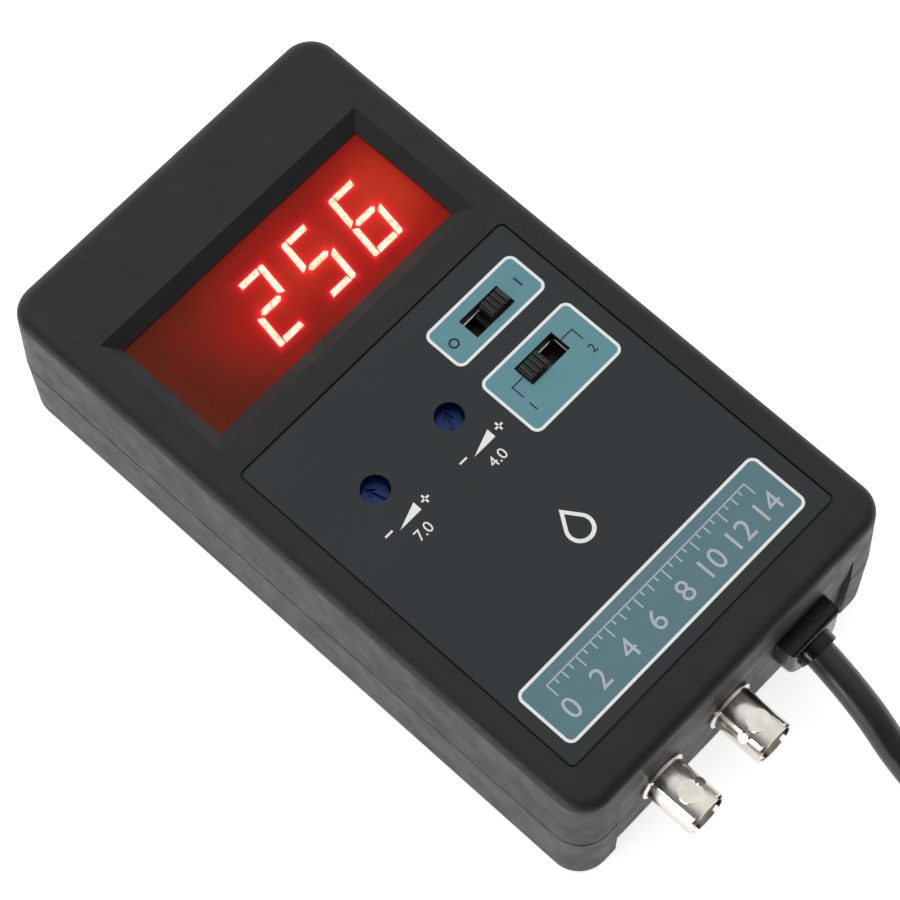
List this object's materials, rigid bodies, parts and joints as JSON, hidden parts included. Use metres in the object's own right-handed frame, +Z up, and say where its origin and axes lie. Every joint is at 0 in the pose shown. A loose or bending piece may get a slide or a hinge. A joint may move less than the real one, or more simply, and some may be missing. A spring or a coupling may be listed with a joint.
{
  "type": "ph meter",
  "caption": "Mains-powered pH and redox monitor with LED display, slide switches, trimmers, probe inputs and a coiled mains lead.",
  "frame": {"origin": "under the middle of the monitor, probe inputs included and mains lead left out, on the surface that it lies on", "axes": "+Z up out of the front panel, +Y towards the display end, +X across the panel to the right as it is read"},
  "size_m": [0.1168, 0.2925, 0.0405],
  "materials": {
    "housing_plastic": "fine-grained moulded ABS, charcoal",
    "label_film": "printed polyester overlay, satin",
    "display_filter": "deep red tinted acrylic, polished",
    "segment_lit": "light-diffusing epoxy bar, lit red-orange",
    "segment_unlit": "light-diffusing epoxy bar, unlit",
    "digit_case": "moulded digit case, dark face",
    "circuit_board": "glass-epoxy board, green solder resist",
    "chip_case": "moulded epoxy package",
    "tinned_pin": "tinned, bright",
    "ribbon_wire": "flat ribbon cable",
    "lead_sleeve": "PVC-covered hook-up wire",
    "zinc_screw": "zinc plated",
    "switch_plastic": "moulded nylon, black",
    "switch_steel": "pressed steel, nickel plated",
    "contact_brass": "spring brass",
    "trimmer_blue": "moulded nylon, blue",
    "rotor_blue": "moulded nylon, blue",
    "nickel": "nickel plated brass, bright",
    "insulator": "PTFE, off-white",
    "contact_gold": "gold flashed brass",
    "bushing_nylon": "moulded nylon, glossy black",
    "cord_jacket": "PVC jacket, glossy black",
    "plug_plastic": "moulded PVC, satin black",
    "plug_metal": "nickel plated brass",
    "terminal_plastic": "moulded nylon, green",
    "fuse_glass": "glass tube with nickel caps",
    "capacitor_sleeve": "shrink sleeve over aluminium can",
    "core_steel": "varnished steel laminations",
    "winding_tape": "yellow polyester tape over copper winding",
    "bracket_steel": "zinc plated strip"
  },
  "bodies": {
    "housing": {"amplifier_chips": "chip_case", "board_ribbon": "ribbon_wire", "bottom_cover": "housing_plastic", "cal_trimmer_body": "trimmer_blue", "chip_legs": "tinned_pin", "control_board": "circuit_board", "control_board_screws": "zinc_screw", "converter_chip": "chip_case", "cord_bushing": "bushing_nylon", "cord_tail": "cord_jacket", "display_board": "circuit_board", "display_board_screws": "zinc_screw", "display_digit_1": "digit_case", "display_digit_2": "digit_case", "display_digit_3": "digit_case", "display_digit_4": "digit_case", "display_window": "display_filter", "front_label": "label_film", "fuse": "fuse_glass", "housing_screws": "zinc_screw", "jack_leads": "lead_sleeve", "left_jack_contact": "contact_gold", "left_jack_insulator": "insulator", "left_jack_nut": "nickel", "left_jack_shell": "nickel", "left_jack_washer": "nickel", "lit_segments": "segment_lit", "mains_cord": "cord_jacket", "mains_cord_coil": "cord_jacket", "mains_wires": "lead_sleeve", "mode_switch_base": "switch_plastic", "mode_switch_frame": "switch_steel", "plug_body": "plug_plastic", "plug_pins": "plug_metal", "power_board": "circuit_board", "power_board_screws": "zinc_screw", "power_switch_base": "switch_plastic", "power_switch_frame": "switch_steel", "right_jack_contact": "contact_gold", "right_jack_insulator": "insulator", "right_jack_nut": "nickel", "right_jack_shell": "nickel", "right_jack_washer": "nickel", "slope_trimmer_body": "trimmer_blue", "smoothing_capacitors": "capacitor_sleeve", "switch_pins": "tinned_pin", "terminal_block": "terminal_plastic", "top_cover": "housing_plastic", "transformer_bracket": "bracket_steel", "transformer_core": "core_steel", "transformer_winding": "winding_tape", "trimmer_pins": "tinned_pin", "unlit_segments": "segment_unlit", "voltage_regulator": "chip_case"},
    "power_switch_slider": {"power_switch_knob": "switch_plastic", "power_switch_contact": "contact_brass"},
    "mode_switch_slider": {"mode_switch_knob": "switch_plastic", "mode_switch_contact": "contact_brass"},
    "cal_adjuster": {"cal_trimmer_rotor": "rotor_blue"},
    "slope_adjuster": {"slope_trimmer_rotor": "rotor_blue"}
  },
  "joints": [
    {"name": "power_switch_slide", "type": "slide", "parent": "housing", "child": "power_switch_slider", "axis": [1, 0, 0], "range_m": [-0.0047, 0]},
    {"name": "mode_switch_slide", "type": "slide", "parent": "housing", "child": "mode_switch_slider", "axis": [1, 0, 0], "range_m": [0, 0.0047]},
    {"name": "cal_trimmer_turn", "type": "hinge", "parent": "housing", "child": "cal_adjuster", "pos_m": [-0.0208, 0.00275, 0.035], "axis": [0, 0, 1], "range_deg": [-135, 135]},
    {"name": "slope_trimmer_turn", "type": "hinge", "parent": "housing", "child": "slope_adjuster", "pos_m": [-0.0005, 0.00275, 0.035], "axis": [0, 0, 1], "range_deg": [-135, 135]}
  ]
}
